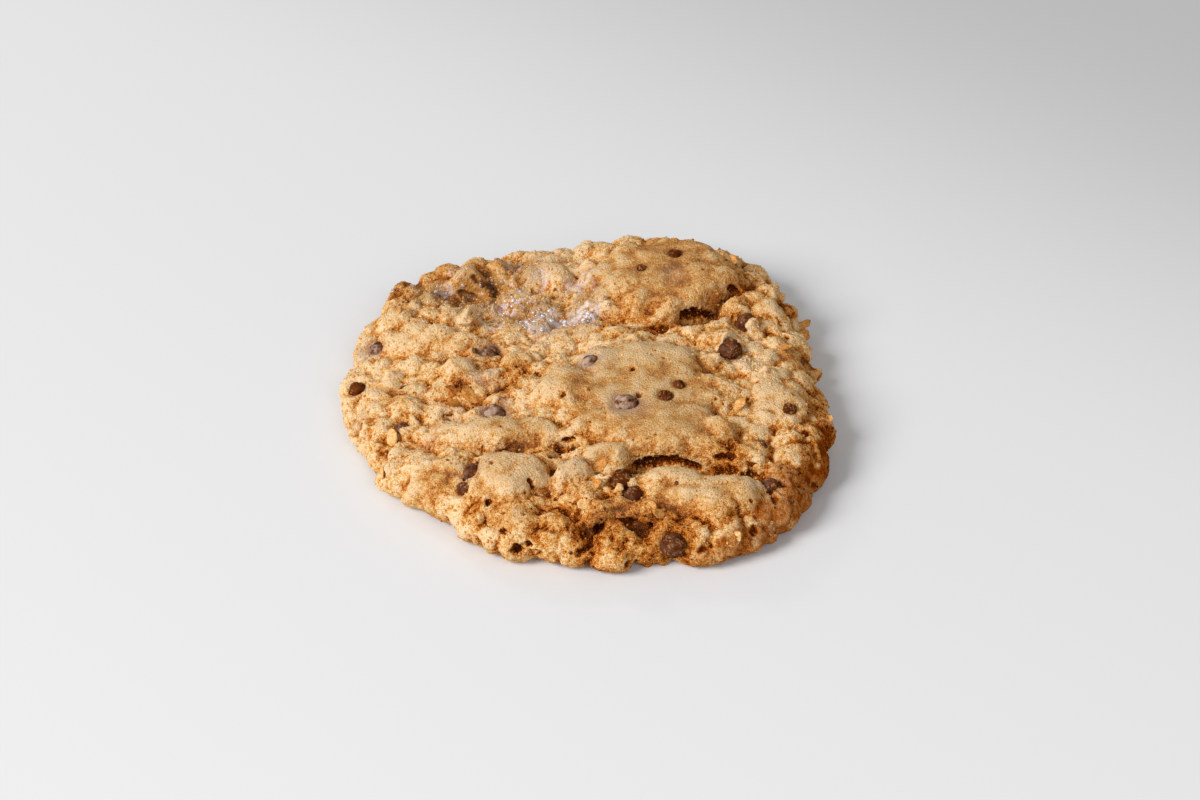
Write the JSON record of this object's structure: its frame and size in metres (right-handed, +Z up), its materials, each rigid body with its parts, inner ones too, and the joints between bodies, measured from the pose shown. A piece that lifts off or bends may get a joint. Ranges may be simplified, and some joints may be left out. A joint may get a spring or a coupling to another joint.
{
  "type": "oatmeal cookie with chocolate chips",
  "caption": "Flat, craggy baked oatmeal cookie with an uneven round outline, smooth crust plates, crumb lumps and small chocolate chips half sunk in its top.",
  "frame": {"origin": "on the flat underside, under the middle of the cookie", "axes": "+Z up through the cookie's thickness, +X to the right and +Y to the back as the picture shows it"},
  "size_m": [0.09, 0.0954, 0.0149],
  "materials": {
    "crust": "dry, crumbly baked crust, matte"
  },
  "bodies": {
    "root": {"cookie": "crust"}
  },
  "joints": []
}
